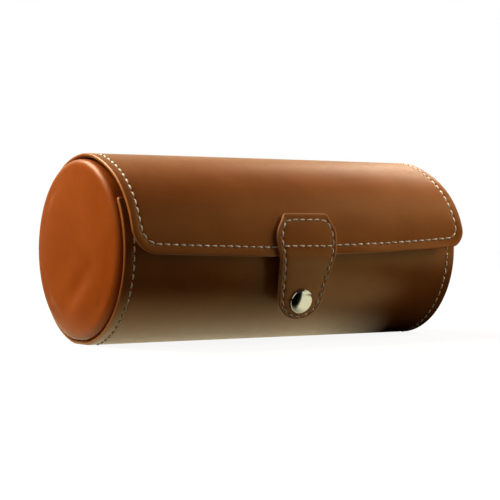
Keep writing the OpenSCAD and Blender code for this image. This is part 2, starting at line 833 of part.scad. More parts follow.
shell_leather();
shell_board();
shell_lining();
shell_stitching();
end_cap_left_leather();
end_cap_left_foam();
end_cap_left_board();
end_cap_left_lining();
end_cap_right_leather();
end_cap_right_foam();
end_cap_right_board();
end_cap_right_lining();
divider_left();
divider_left_board();
divider_right();
divider_right_board();
snap_stud();
snap_post();
hinge_leather();
hinge_lining();
lid_leather();
lid_board();
lid_lining();
lid_stitching();
strap_anchor();
strap_anchor_backing();
strap_anchor_stitching();
strap_tongue();
strap_tongue_backing();
strap_tongue_stitching();
snap_cap();
snap_socket();
snap_spring();
pillow_cover(-1);  // pillow_left_cover
pillow_core(-1);  // pillow_left_core
pillow_ends(-1);  // pillow_left_ends
pillow_cover(0);  // pillow_centre_cover
pillow_core(0);  // pillow_centre_core
pillow_ends(0);  // pillow_centre_ends
pillow_cover(1);  // pillow_right_cover
pillow_core(1);  // pillow_right_core
pillow_ends(1);  // pillow_right_ends
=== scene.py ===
import math

import bmesh
import bpy
import numpy as np
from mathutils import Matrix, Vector


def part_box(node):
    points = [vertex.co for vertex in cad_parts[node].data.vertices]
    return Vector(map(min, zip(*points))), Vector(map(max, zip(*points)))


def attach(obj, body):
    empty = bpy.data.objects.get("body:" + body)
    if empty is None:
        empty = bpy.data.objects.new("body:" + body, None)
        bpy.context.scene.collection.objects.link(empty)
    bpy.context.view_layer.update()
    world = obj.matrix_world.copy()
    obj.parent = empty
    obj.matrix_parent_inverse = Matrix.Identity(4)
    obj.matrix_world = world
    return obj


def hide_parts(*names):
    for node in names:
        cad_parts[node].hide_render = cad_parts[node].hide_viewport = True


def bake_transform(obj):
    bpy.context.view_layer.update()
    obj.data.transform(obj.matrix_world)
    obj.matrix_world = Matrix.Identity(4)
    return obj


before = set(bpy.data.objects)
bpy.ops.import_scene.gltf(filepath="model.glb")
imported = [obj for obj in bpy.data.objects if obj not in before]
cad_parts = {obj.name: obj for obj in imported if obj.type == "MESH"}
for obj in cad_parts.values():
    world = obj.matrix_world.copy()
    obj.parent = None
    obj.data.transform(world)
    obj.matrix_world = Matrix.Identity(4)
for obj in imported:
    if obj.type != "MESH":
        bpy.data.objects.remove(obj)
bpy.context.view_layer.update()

MM = 0.001
scene = bpy.context.scene

# ---- sizes taken from the frame ----

shell_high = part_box("shell_leather")[1]
TUBE_HALF = shell_high.x / MM
TUBE_R = shell_high.y / MM
LID_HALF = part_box("lid_leather")[1].x / MM
BASE_DROP = 0.5                      # the resting flat cuts this far into the round outline
AXIS_Z = TUBE_R - BASE_DROP

# ---- other sizes ----

SHELL_HIDE, SHELL_WALL, SHELL_LINED = 0.9, 1.9, 2.3  # depths of hide, board and lining
LID_HIDE, LID_WALL, LID_LINED = 0.8, 1.7, 2.1
TURN_IN = 7.0                        # hide folded over the board's edges
HINGE_ANGLE, HINGE_HALF = 40.0, 3.2  # line up the back in degrees, and bare hide beside it
LIP_ANGLE = 147.0                    # front lip of the shell
LIP_CORNER_R = 1.4
FLAP_R, FLAP_Y, FLAP_Z = 50.5, -3.11174, -2.42732  # the lid's front arc and its centre
FLAP_CORNERS = 13.0, 9.5             # left and right
LEFT_FLARE, RIGHT_FLARE = 1.7, 3.5   # how far the lid's ends stand off the tube
PITCH = 4.4                          # from one stitch to the next on shell and lid
SHELL_ROW, LID_ROW = 5.2, 4.7        # stitched rows in from the edges
SWELL = 0.06                         # how far the hide stands up between a row and its edge
THREAD_R, STRAP_THREAD_R = 0.36, 0.34
THREAD_SHARE = 0.82                  # of the way from hole to hole
INSIDE = 99                          # inset of the points that aren't near an edge
STRAP_X, STRAP_TOP, STRAP_DROP = -1.0, 18.5, 53.9  # middle, top above the axis, length
STRAP_HIDE, STRAP_T, STRAP_ROW, STRAP_PITCH = 1.3, 2.3, 2.3, 4.4
BEND_Z, BEND_Y, STRAP_LEAN = -3.4, -55.9028, math.radians(18.7852)  # where the strap bends
SNAP_DOWN, SNAP_R, SNAP_H = 23.8, 6.5, 2.3
DOME_R = 17.0
POST_R = 1.9
HIDE_RUB, STRAP_RUB_AND_HIGHLIGHT = 0.5, 0.35      # how far in from its edges hide shows rubbing; on the strap that edge also carries a painted highlight
PAD_PRESSURE, PILLOW_PRESSURE = 0.1, 30.0
ROOM_LIGHT, FLOOR_GLOW = 0.025, 0.91  # shares of white
MIRROR_GLOW, MIRROR_TINT = 1.2, (1.0, 0.96, 0.66, 1.0)
LAMP_TINT = 1.0, 0.90, 0.72
LAMPS = (                            # name, place, size, power, mirrored
    ("left_box", (-1.1, 0.20, 0.34), (0.5, 0.5), 5.8, False),
    ("top_box", (-0.42, 0.55, 0.90), (0.7, 0.5), 21, True),
    ("right_box", (0.28, -0.13, 0.30), (0.15, 0.15), 0.85, False),
    ("right_front_box", (0.36, -0.34, 0.20), (0.15, 0.15), 0.3, False),
    ("right_back_box", (0.75, 0.42, 0.62), (0.5, 0.4), 1.8, True),
)


# ---- mesh tools ----

def add(name, data):
    """A new object in the scene."""
    thing = bpy.data.objects.new(name, data)
    scene.collection.objects.link(thing)
    return thing


def smooth_mesh(name, points, faces, sharp=None):
    """A smooth mesh that faces outwards. Edges between two sharp points stay hard."""
    mesh = bpy.data.meshes.new(name)
    mesh.from_pydata(points.tolist(), [], faces)
    work = bmesh.new()
    work.from_mesh(mesh)
    bmesh.ops.recalc_face_normals(work, faces=work.faces)
    for face in work.faces:
        face.smooth = True
    if sharp is not None:
        work.verts.ensure_lookup_table()
        for edge in work.edges:
            if sharp[edge.verts[0].index] and sharp[edge.verts[1].index]:
                edge.smooth = False
    work.to_mesh(mesh)
    work.free()
    return mesh


def solid(name, material, body, points, faces, wear_and_highlight=None, sharp=None):
    """A piece from points in millimetres, with a share for each point that is 1 on an edge
    lightened by rubbing and, on the strap, by a painted highlight. A piece with no body gets no
    parent."""
    mesh = smooth_mesh(name, np.asarray(points) * MM, faces, sharp)
    rubbed_and_highlight = mesh.attributes.new("wear_and_highlight", "FLOAT", "POINT")
    rubbed_and_highlight.data.foreach_set("value", np.zeros(len(points)) if wear_and_highlight is None else wear_and_highlight)
    mesh.materials.append(material)
    piece = add(name, mesh)
    if body:
        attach(piece, body)
    return piece


def stand_for(piece, slot, *nodes):
    """Hides the CAD nodes that a piece stands in for."""
    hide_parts(*nodes)


def paint(node_name, material):
    """Gives a CAD node that is shown as it is its finished material."""
    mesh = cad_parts[node_name].data
    mesh.materials.clear()
    mesh.materials.append(material)


def runs(points):
    """How far along a line each of its points is."""
    return np.concatenate([[0], np.cumsum(np.linalg.norm(np.diff(points, axis=0), axis=1))])


def unit(vectors):
    """Vectors with a length of 1."""
    return vectors / np.linalg.norm(vectors, axis=-1, keepdims=True)


def even(points, count, low=0, high=None):
    """A line, or its part between two runs, with count equal steps."""
    points = np.asarray(points, float)
    run = runs(points)
    places = np.linspace(low, run[-1] if high is None else high, count + 1)
    return np.column_stack([np.interp(places, run, column) for column in points.T])


def arc(radius, start, end, count):
    """Points on a circle between two angles in degrees."""
    turns = np.radians(np.linspace(start, end, count + 1))
    return radius * np.column_stack([np.cos(turns), np.sin(turns)])


def circle(count):
    """Points round a unit circle."""
    return arc(1.0, 0, 360, count)[:-1]


def step(value, low, high):
    """Eases from 0 at low to 1 at high."""
    t = np.clip((value - low) / (high - low), 0, 1)
    return t * t * (3 - 2 * t)


def coons(left, right, near, far):
    """A grid of points that meets four border lines."""
    v = np.linspace(0, 1, len(left))[:, None, None]
    u = np.linspace(0, 1, len(near))[:, None]
    sides = (1 - u) * left[:, None] + u * right[:, None]
    return sides + (1 - v) * (near - sides[0]) + v * (far - sides[-1])


def band(a, b, closed=False):
    """Faces between two rows of point numbers."""
    ends = range(1, len(a) + (1 if closed else 0))
    return [(a[k - 1], a[k % len(a)], b[k % len(a)], b[k - 1]) for k in ends]


def grid_faces(index, closed=False):
    """Faces of a grid of point numbers."""
    return [face for a, b in zip(index, index[1:]) for face in band(a, b, closed)]


def closed_skin(outline, rings):
    """Points and faces round the X axis. The outline's (y, z) points are scaled by a share at each
    x in rings; its first and last are single points."""
    count = len(outline)
    points = [(rings[0][0], 0, 0)]
    for x, share in rings[1:-1]:
        points += [(x, y * share, z * share) for y, z in outline]
    points.append((rings[-1][0], 0, 0))
    last = len(points) - 1
    faces = []
    for k in range(count):
        n = (k + 1) % count
        faces += [(0, 1 + n, 1 + k), (last, last - count + k, last - count + n)]
        faces += [(a + k, a + n, a + count + n, a + count + k)
                  for a in range(1, last - count, count)]
    return np.array(points), faces


def border(lines, open_near):
    """The points round a sheet whose left, far, right and near lines are given. A sheet that is
    open at the near side has no near line in it."""
    left, far, right, near = lines
    if open_near:
        return np.concatenate([left[:-1], far[:-1], right[::-1]])
    return np.concatenate([left[:-1], far[:-1], right[:0:-1], near[:0:-1]])


def sheet_points(ring, section, place, open_near=False, rub_and_highlight=None):
    """Points, faces, edge shares and sharp marks of a thick sheet. ring(inset) gives its left, far,
    right and near border lines in the flat, taken in by an inset. section is the inset and depth of
    each step from its outer face round the edge to its inner face. place(flat, depth, inset, along)
    puts flat points into space, where along is each point's run round the border. The last argument
    is how far in from the edge the sheet shows rubbing, and on the strap a painted highlight."""
    points, wear_and_highlight, loops = [], [], []
    for inset, depth in section:
        flat = border(ring(inset), open_near)
        loops.append(np.arange(len(points), len(points) + len(flat)))
        points.extend(place(flat, depth, inset, runs(flat)))
        wear_and_highlight.extend([math.exp(-(inset / rub_and_highlight) ** 2) if rub_and_highlight else 0.0] * len(flat))
    faces = grid_faces(loops, not open_near)
    near_rows = []
    for loop, (inset, depth) in ((loops[0], section[0]), (loops[-1], section[-1])):
        left, far, right, near = ring(inset)
        grid = coons(left, right, near, far)
        rows, columns = grid.shape[:2]
        index = -np.ones((rows, columns), int)
        index[:, 0] = loop[:rows]
        index[-1, :] = loop[rows - 1:rows + columns - 1]
        index[:, -1] = loop[rows + columns - 2:2 * rows + columns - 2][::-1]
        if not open_near:
            index[0, 1:-1] = loop[2 * rows + columns - 2:][::-1]
        todo = np.argwhere(index < 0)
        index[index < 0] = np.arange(len(points), len(points) + len(todo))
        flat = grid[todo[:, 0], todo[:, 1]]
        points.extend(place(flat, depth, inset + INSIDE, np.zeros(len(flat))))
        wear_and_highlight.extend([0.0] * len(flat))
        faces += grid_faces(index)
        near_rows.append(index[0])
    sharp = np.zeros(len(points), bool)
    if open_near:
        faces += band(*near_rows)
        sharp[np.concatenate(near_rows)] = True
        for k in (0, -1):
            end = [loop[k] for loop in loops]
            faces.append(tuple(end))
            sharp[end] = True
    return np.array(points), faces, np.array(wear_and_highlight), sharp


def rounded(r, steps):
    """Inset and depth pairs round an edge, from the flat face to the side."""
    turns = np.radians(np.linspace(0, 90, steps))
    return [(r * (1 - math.sin(t)), r * (1 - math.cos(t))) for t in turns]


def folded_edge(wall, hide, row, round_r, inner_r):
    """The section of a hide folded round an edge: outer face with closely spaced steps about its
    stitched row, rounded edge, turned-in strip and the underside of the hide."""
    start = row + 2.2
    near_row = [row + gap for gap in (-1.6, -1.1, -0.7, -0.35, 0, 0.35, 0.7, 1.1, 1.6)]
    section = [(inset, 0.0) for inset in sorted({start, 2.6, 1.8, 1.2, *near_row}, reverse=True)]
    section += rounded(round_r, 6)
    section += [(inset, wall - depth) for inset, depth in rounded(inner_r, 5)[::-1]]
    return section + [(1.5, wall), (TURN_IN, wall), (TURN_IN, hide), (TURN_IN + 1.5, hide)]


def pulled(inset, along, row, pitch=PITCH, swell=SWELL, width=1.3):
    """How far a hide lies down at an inset and a run along its stitched row: thread pulls it down
    in a groove, most at the holes, and it swells between the row and its edge."""
    groove = math.exp(-((inset - row) / 0.75) ** 2)
    beat = 0.5 + 0.5 * np.cos(2 * math.pi * along / pitch)
    return groove * (0.10 + 0.22 * beat) - swell * math.exp(-((inset - row / 2) / width) ** 2)


# ---- surfaces ----

SHELL_START = math.radians(HINGE_ANGLE) - HINGE_HALF / TUBE_R
SHELL_RUN = TUBE_R * math.radians(360 - LIP_ANGLE + HINGE_ANGLE) - HINGE_HALF


def on_shell(flat, depth, inset=INSIDE, along=0):
    """Puts (x, run from the hinge down the back and round to the lip) on the shell."""
    turn = SHELL_START - flat[:, 1] / TUBE_R
    radius = TUBE_R - depth
    z = np.maximum(AXIS_Z + radius * np.sin(turn), depth)
    return np.column_stack([flat[:, 0], radius * np.cos(turn), z])


def lid_radius(turn, x):
    """Distance of the lid's outer face from the tube's axis. Its ends flare off the tube, and its
    front edge kicks out a little beside the strap."""
    toward = FLAP_Y * np.cos(turn) + FLAP_Z * np.sin(turn)
    flap = toward + np.sqrt(toward ** 2 - FLAP_Y ** 2 - FLAP_Z ** 2 + FLAP_R ** 2)
    gap = flap - TUBE_R
    base = TUBE_R + (gap + np.sqrt(gap ** 2 + 0.2)) / 2
    degrees = np.degrees(turn)
    base = np.where(degrees > 60, base, TUBE_R + (base - TUBE_R) * step(degrees, 44, 60))
    reach = np.abs(x / LID_HALF) ** 2.4
    flare = np.where(x > 0, RIGHT_FLARE, LEFT_FLARE) * step(degrees, 124, 170)
    tuck = 0.7 * np.exp(-((degrees - 116) / 15) ** 2)
    beside_strap = 1 - np.exp(-((x - STRAP_X) / 21) ** 4)
    kick = (0.75 + 1.5 * step(x, 5, 60)) * step(degrees, 175, 185) * beside_strap
    return base + reach * (flare - tuck) + kick


lid_turns = np.linspace(math.radians(HINGE_ANGLE) + HINGE_HALF / TUBE_R, math.radians(190), 800)
lid_line = lid_radius(lid_turns, 0.0)[:, None] * np.column_stack(
    [np.cos(lid_turns), np.sin(lid_turns)])
lid_runs = runs(lid_line)


def lid_end_run(x):
    """Run from the hinge to the flap's front edge, which sags and sits a little askew."""
    dip = 0.45 * np.exp(-((x + 24) / 14) ** 2)
    edge_z = -2.77 + 0.0131 * x + 0.0003 * x * x - dip
    front = slice(len(lid_runs) // 2, None)
    return np.interp(-edge_z, -lid_line[front, 1], lid_runs[front])


def lid_place(row=None):
    """Puts (x, run from the hinge over the top and down the front) on the lid."""
    def place(flat, depth, inset=INSIDE, along=0):
        turn = np.interp(flat[:, 1], lid_runs, lid_turns)
        down = pulled(inset, along, row) if row is not None and depth == 0 else depth
        radius = lid_radius(turn, flat[:, 0]) - down
        return np.column_stack([flat[:, 0], radius * np.cos(turn),
                                AXIS_Z + radius * np.sin(turn)])
    return place


def u_ring(half, end_run, corners, columns, rows=None):
    """A ring() for a sheet with a plain near border and rounded left and right far corners. If no
    count is given, its rows are a quarter of a stitch apart."""
    rows = rows or round(float(end_run(0.0)) / (PITCH / 4))

    def ring(inset):
        edge = half - inset
        sides, bends = [], []
        for side, corner in zip((-1, 1), corners):
            r = max(corner - inset, 0.05)
            x = side * (edge - r)
            centre = x, end_run(x) - inset - r
            line = arc(r, 0, 45, 8) * [side, 1] + centre
            sides.append(even([(side * edge, 0), *line], rows))
            bends.append(arc(r, 90, 45, 8) * [side, 1] + centre)
        left, right = sides
        middle = np.linspace(bends[0][0, 0], bends[1][0, 0], 80)[1:-1]
        front = zip(middle, end_run(middle) - inset)
        far = even([*bends[0][::-1], *front, *bends[1]], columns)
        left[-1], right[-1] = far[0], far[-1]
        near = np.column_stack([np.linspace(-edge, edge, columns + 1), np.zeros(columns + 1)])
        return left, far, right, near
    return ring


# ---- materials ----

def node(tree, kind, inputs=None, **settings):
    """A new shader node. Its inputs are values or other nodes' sockets."""
    made = tree.nodes.new("ShaderNode" + kind)
    for key, value in settings.items():
        setattr(made, key, value)
    for key, value in (inputs or {}).items():
        if isinstance(value, bpy.types.NodeSocket):
            tree.links.new(value, made.inputs[key])
        else:
            made.inputs[key].default_value = value
    return made


def math_node(operation):
    return lambda tree, a, b: node(tree, "Math", {0: a, 1: b}, operation=operation).outputs[0]


plus, times, most = (math_node(name) for name in ("ADD", "MULTIPLY", "MAXIMUM"))


def spread(tree, value, low, high, to_low=0.0, to_high=1.0):
    return node(tree, "MapRange", {"Value": value, "From Min": low, "From Max": high,
                                   "To Min": to_low, "To Max": to_high}).outputs["Result"]


def mix(tree, share, a, b):
    return node(tree, "Mix", {0: share, 6: a, 7: b}, data_type="RGBA").outputs[2]


def noise(tree, place, scale, detail=3.0, rough=0.55, distort=0.0):
    return node(tree, "TexNoise", {"Vector": place, "Scale": scale, "Detail": detail,
                                   "Roughness": rough, "Distortion": distort}).outputs["Fac"]


def fibres(tree, place, scale, detail=3, rough=0.6):
    """Noise drawn out along the axes that have a small scale."""
    drawn = node(tree, "Mapping", {"Vector": place, "Scale": scale}).outputs[0]
    return noise(tree, drawn, 1.0, detail, rough)


def cells(tree, place, scale):
    return node(tree, "TexVoronoi", {"Vector": place, "Scale": scale}).outputs["Distance"]


def colour(r, g, b):
    return (r, g, b, 1.0)


def start_material(name, **constants):
    """A material with its Principled shader and object coordinates in millimetres."""
    material = bpy.data.materials.new(name)
    material.use_nodes = True
    tree = material.node_tree
    shader = tree.nodes["Principled BSDF"]
    for key, value in constants.items():
        shader.inputs[key.replace("_", " ")].default_value = value
    place = node(tree, "TexCoord").outputs["Object"]
    scaled = node(tree, "VectorMath", {0: place, 1: (1 / MM,) * 3}, operation="MULTIPLY")
    return material, tree, shader, scaled.outputs[0]


def surface(tree, shader, tint, height, strength, deep):
    """Gives a shader its colour, and its bump with a depth in millimetres."""
    tree.links.new(tint, shader.inputs["Base Color"])
    made = node(tree, "Bump", {"Height": height, "Strength": strength, "Distance": deep * MM})
    tree.links.new(made.outputs["Normal"], shader.inputs["Normal"])


def leather(name, tone, dark, light, rubbed_and_highlight, gloss):
    """Vegetable tanned hide under a wax finish: clouded colour, fine grain, lighter edges from
    rubbing, which on the strap also hold a painted highlight.
    """
    material, tree, shader, place = start_material(
        name, Specular_IOR_Level=gloss, Specular_Tint=colour(1.0, 0.68, 0.32))
    clouds = spread(tree, noise(tree, place, 0.035, 4, 0.6, 0.6), 0.34, 0.68)
    fine = noise(tree, place, 1.6, 3, 0.6)
    streaks = fibres(tree, place, (0.02, 0.3, 0.2))
    tint = mix(tree, clouds, dark, tone)
    tint = mix(tree, spread(tree, streaks, 0.5, 0.8, 0, 0.2), tint, light)
    tint = mix(tree, spread(tree, fine, 0.55, 0.8, 0, 0.16), tint, dark)
    # Edges take the lighter edge colour: rubbing on shell and lid, and on the strap also a painted
    # highlight.
    edge = node(tree, "Attribute", attribute_name="wear_and_highlight").outputs["Fac"]
    worn_and_highlight = times(tree, edge, spread(tree, fine, 0.3, 0.6, 0.55, 0.9))
    tint = mix(tree, worn_and_highlight, tint, rubbed_and_highlight)
    tree.links.new(spread(tree, noise(tree, place, 0.25, 4, 0.65), 0.3, 0.7, 0.34, 0.42),
                   shader.inputs["Roughness"])
    pebble = node(tree, "TexVoronoi", {"Vector": place, "Scale": 1.3, "Smoothness": 0.7,
                                       "Randomness": 1.0}, feature="SMOOTH_F1")
    pores = spread(tree, cells(tree, place, 0.75), 0.0, 0.16, -1.0, 0.0)
    height = plus(tree, times(tree, pebble.outputs["Distance"], 0.9), times(tree, fine, 0.7))
    height = plus(tree, height, times(tree, pores, 0.5))
    surface(tree, shader, tint, height, 0.30, 0.035)
    return material


def suede(name, tone, dark):
    """Brushed cloth: nap that lies in patches, with a soft sheen."""
    material, tree, shader, place = start_material(
        name, Roughness=0.95, Specular_IOR_Level=0.15, Sheen_Weight=0.35, Sheen_Roughness=0.5,
        Sheen_Tint=tone)
    patches = spread(tree, noise(tree, place, 0.09, 5, 0.65, 1.2), 0.35, 0.65)
    nap = noise(tree, place, 3.2, 4, 0.7)
    tint = mix(tree, patches, dark, tone)
    tint = mix(tree, spread(tree, nap, 0.45, 0.75, 0, 0.5), tint, dark)
    surface(tree, shader, tint, plus(tree, nap, patches), 0.6, 0.15)
    return material


def thread_material():
    """Waxed cream thread, a little soiled."""
    material, tree, shader, place = start_material(
        "cream_thread", Roughness=0.62, Specular_IOR_Level=0.5, Sheen_Weight=0.9,
        Sheen_Tint=colour(1.0, 0.94, 0.78))
    soil = spread(tree, noise(tree, place, 0.5, 3, 0.6), 0.4, 0.7)
    tint = mix(tree, soil, colour(0.97, 0.94, 0.85), colour(0.90, 0.84, 0.69))
    surface(tree, shader, tint, noise(tree, place, 9.0, 2, 0.6), 0.5, 0.05)
    return material


def hole_shade_material():
    """Painted shade: a near-black colour for the shallow dimples of the awl holes, standing in for
    the shade inside them.
    """
    material, tree, shader, place = start_material(
        "awl_hole_shade", Roughness=0.9, Specular_IOR_Level=0.1)
    tint = mix(tree, noise(tree, place, 2.0), colour(0.010, 0.004, 0.002),
               colour(0.035, 0.012, 0.005))
    tree.links.new(tint, shader.inputs["Base Color"])
    return material


def nickel_material():
    """Plated metal with faint wiping marks."""
    material, tree, shader, place = start_material("nickel", Metallic=1.0)
    smudge = noise(tree, place, 0.4, 4, 0.6)
    tint = mix(tree, smudge, colour(0.78, 0.76, 0.71), colour(0.6708, 0.6536, 0.6106))
    tree.links.new(spread(tree, smudge, 0.3, 0.7, 0.10, 0.18), shader.inputs["Roughness"])
    surface(tree, shader, tint, fibres(tree, place, (0.4, 9.0, 9.0)), 0.05, 0.02)
    return material


def card_material():
    """Pressed grey board with flecks and short fibres."""
    material, tree, shader, place = start_material(
        "grey_board", Roughness=0.9, Specular_IOR_Level=0.2)
    pulp = fibres(tree, place, (0.4, 2.5, 2.5), 4, 0.7)
    flecks = noise(tree, place, 4.0, 2, 0.5)
    tint = mix(tree, pulp, colour(0.20, 0.18, 0.15), colour(0.36, 0.33, 0.28))
    tint = mix(tree, spread(tree, flecks, 0.68, 0.72), tint, colour(0.10, 0.08, 0.07))
    surface(tree, shader, tint, pulp, 0.4, 0.1)
    return material


def foam_material():
    """Open-celled foam."""
    material, tree, shader, place = start_material(
        "foam", Roughness=0.9, Specular_IOR_Level=0.2, Subsurface_Weight=0.1)
    pits = cells(tree, place, 1.8)
    tint = mix(tree, spread(tree, pits, 0.1, 0.6), colour(0.62, 0.55, 0.42),
               colour(0.84, 0.79, 0.67))
    surface(tree, shader, tint, pits, 0.7, 0.3)
    return material


HIDE_TONES = colour(0.300, 0.085, 0.013), colour(0.240, 0.062, 0.008), colour(0.340, 0.110, 0.020)
SADDLE = leather("saddle_leather", *HIDE_TONES, colour(0.390, 0.120, 0.028), 0.9)
PAD = leather("pad_leather", colour(0.350, 0.074, 0.007), colour(0.300, 0.058, 0.005),
              colour(0.385, 0.094, 0.012), colour(0.440, 0.130, 0.030), 0.35)
# Its pale edge colour is partly rubbing and partly a painted highlight along the strap's edges.
STRAP = leather("strap_leather", *HIDE_TONES, colour(0.540, 0.260, 0.125), 0.9)
SUEDE = suede("suede_lining", colour(0.21, 0.125, 0.072), colour(0.13, 0.072, 0.040))
THREAD = thread_material()
HOLE_SHADE = hole_shade_material()
NICKEL = nickel_material()
CARD = card_material()
FOAM = foam_material()


# ---- stitches ----

def stitch_points(a, b, up, radius):
    """One stitch from hole a to hole b: two twisted strands that arch over the hide."""
    rings, sides, rise, dive = 9, 8, 0.20, 0.6
    run = b - a
    side = unit(np.cross(unit(run), up))
    points = []
    for t in np.linspace(0, 1, rings):
        arch = math.sin(math.pi * t) ** 0.55
        centre = a + run * (0.5 + THREAD_SHARE * (t - 0.5)) + up * (-dive + (dive + rise) * arch)
        taper = 0.55 + 0.45 * arch
        for k in range(sides):
            turn = 2 * math.pi * k / sides
            lobes = 1 + 0.16 * math.cos(2 * (turn - 5.0 * t))
            out = side * math.cos(turn) * 1.12 + up * math.sin(turn) * 0.9
            points.append(centre + out * radius * taper * lobes)
    index = np.arange(rings * sides).reshape(rings, sides)
    return points, [index[0, ::-1], index[-1], *grid_faces(index, True)]


def hole_points(centre, forward, up):
    """An almond-shaped dimple where the thread goes through the hide, painted near black as shade.
    """
    forward = unit(forward)
    almond = circle(10) * [1.15, 0.52]
    points, faces = closed_skin(almond, [(-0.2, 0), (0.05, 1), (-0.3, 1.15), (-0.4, 0)])
    return centre + points @ [up, forward, np.cross(forward, up)], faces


def join(shapes):
    """Several (points, faces) as one."""
    points, faces = [], []
    for more, these in shapes:
        faces += [tuple(len(points) + k for k in face) for face in these]
        points += list(more)
    return np.array(points), faces


def stitch_row(place, flat, pitch=PITCH, radius=THREAD_R, skip=lambda spot: False, closed=False):
    """Stitches and holes along a flat line."""
    spots = even(flat, round(runs(flat)[-1] / pitch))
    outer = place(spots, 0.0)
    up = unit(outer - place(spots, 1.0))
    stitches, holes = [], []
    for i in range(len(outer) - 1):
        if not skip((spots[i] + spots[i + 1]) / 2):
            middle = unit(up[i] + up[i + 1])
            stitches.append(stitch_points(outer[i], outer[i + 1], middle, radius))
    for i in range(len(outer) - (1 if closed else 0)):
        if not skip(spots[i]):
            along = outer[min(i + 1, len(outer) - 1)] - outer[max(i - 1, 0)]
            holes.append(hole_points(outer[i] - up[i] * 0.26, along, up[i]))
    return stitches, holes


def sew(name, body, rows, *nodes):
    """The threads and the awl holes of stitched rows. Those with no body get no parent."""
    pieces = []
    for k, ending, material in ((0, "thread", THREAD), (1, "awl_hole_shades", HOLE_SHADE)):
        points, faces = join([shape for row in rows for shape in row[k]])
        points[:, 2] = np.maximum(points[:, 2], 0.02)
        pieces.append(solid(f"{name}_{ending}", material, body, points, faces))
        if not body:
            strap_blend(pieces[-1])
    stand_for(pieces[0], "cream_thread", *nodes)


# ---- shell ----

def add_lining(name, body, ring, wall, lined, place):
    """Suede with soft edges on a wall."""
    section = [(3, wall + 0.02), (0.6, wall + 0.02), (0.1, wall + 0.1), (0, lined - 0.2),
               (0.15, lined - 0.05), (0.5, lined), (3, lined)]
    lining = solid(name + "_suede", SUEDE, body, *sheet_points(ring, section, place, True))
    stand_for(lining, "suede_lining", name + "_lining")


def rim_place(flat, depth, inset=INSIDE, along=0):
    """on_shell() with a stitched groove, which runs beside the rims only, not along the lip."""
    points = on_shell(flat, depth)
    if depth > 0 or inset >= INSIDE:
        return points
    edge = TUBE_HALF - inset
    beside = step(np.abs(flat[:, 0]), edge - 0.6, edge - 0.1)
    down = pulled(inset, flat[:, 1], SHELL_ROW) * beside
    points += (on_shell(flat, 1.0) - points) * down[:, None]
    points[:, 2] = np.maximum(points[:, 2], 0)
    return points


def make_shell():
    ring = u_ring(TUBE_HALF, lambda x: 0 * x + SHELL_RUN, (LIP_CORNER_R,) * 2, 170)
    section = folded_edge(SHELL_WALL, SHELL_HIDE, SHELL_ROW, 0.85, 0.8)
    shell = solid("shell_hide", SADDLE, "case",
                  *sheet_points(ring, section, rim_place, True, HIDE_RUB))
    stand_for(shell, "saddle_leather", "shell_leather")

    ring = u_ring(TUBE_HALF - 1.0, lambda x: 0 * x + SHELL_RUN - 1.5, (2.0, 2.0), 90, 110)
    add_lining("shell", "case", ring, SHELL_WALL, SHELL_LINED, on_shell)
    ends = PITCH / 2, SHELL_RUN - PITCH * 0.6
    rows = [stitch_row(on_shell, np.array([(side * (TUBE_HALF - SHELL_ROW), run) for run in ends]))
            for side in (-1, 1)]
    sew("shell", "case", rows, "shell_stitching")


# ---- hinge ----

def make_hinge():
    """The bare hide and cloth between the shell and the lid."""
    angle = math.radians(HINGE_ANGLE)
    lines, columns = 13, 121
    outer, inner = np.arange(2 * lines * columns).reshape(2, lines, columns)
    faces = grid_faces(outer) + grid_faces(inner)
    for k in (0, -1):
        faces += band(outer[k], inner[k]) + band(outer[:, k], inner[:, k])
    sharp = np.zeros((2, lines, columns), bool)
    sharp[:, (0, -1)] = True
    for name, top, bottom, half, material, slot, node_name in (
            ("hinge_hide", 0.0, LID_HIDE, LID_HALF, SADDLE, "saddle_leather", "hinge_leather"),
            ("hinge_suede", LID_HIDE + 0.02, LID_HIDE + 0.4, LID_HALF - 1.0, SUEDE,
             "suede_lining", "hinge_lining")):
        x, run = np.meshgrid(np.linspace(-half, half, columns),
                             np.linspace(-HINGE_HALF, HINGE_HALF, lines))
        turn = angle + run / TUBE_R
        points = []
        for depth in (top, bottom):
            dip = 0.22 * np.exp(-(run / 1.6) ** 2) if depth == 0 else 0.0
            radius = TUBE_R - depth - dip
            layer = np.dstack([x, radius * np.cos(turn), AXIS_Z + radius * np.sin(turn)])
            points.extend(layer.reshape(-1, 3))
        piece = solid(name, material, None, points, faces, None, sharp.ravel())
        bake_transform(piece)
        stand_for(piece, slot, node_name)


# ---- lid ----

def under_strap(flat):
    """Whether a flat point of the lid lies under the strap."""
    turn = np.interp(flat[1], lid_runs, lid_turns)
    drop = STRAP_TOP - lid_radius(turn, flat[0]) * math.sin(turn)
    return drop > -1 and abs(flat[0] - STRAP_X) < strap_half(max(drop, 0)) + 0.8


def make_lid():
    ring = u_ring(LID_HALF, lid_end_run, FLAP_CORNERS, 176)
    section = folded_edge(LID_WALL, LID_HIDE, LID_ROW, 0.8, 0.7)
    lid = solid("lid_hide", SADDLE, "lid",
                *sheet_points(ring, section, lid_place(LID_ROW), True, HIDE_RUB))
    stand_for(lid, "saddle_leather", "lid_leather")
    line, place = border(ring(LID_ROW), True), lid_place()

    inward, low, high = TURN_IN + 0.1, LID_HIDE + 0.05, LID_WALL - 0.05
    ring = u_ring(LID_HALF - inward, lambda x: lid_end_run(x) - inward, (6.0, 6.0), 60, 50)
    section = [(2, low), (0, low), (0, high), (2, high)]
    board = solid("lid_card", CARD, "lid", *sheet_points(ring, section, place, True))
    stand_for(board, "grey_board", "lid_board")

    ring = u_ring(LID_HALF - 1.0, lambda x: lid_end_run(x) - 1.0,
                  [corner - 1 for corner in FLAP_CORNERS], 100, 80)
    add_lining("lid", "lid", ring, LID_WALL, LID_LINED, place)
    sew("lid", "lid", [stitch_row(place, line, skip=under_strap)], "lid_stitching")


# ---- strap ----

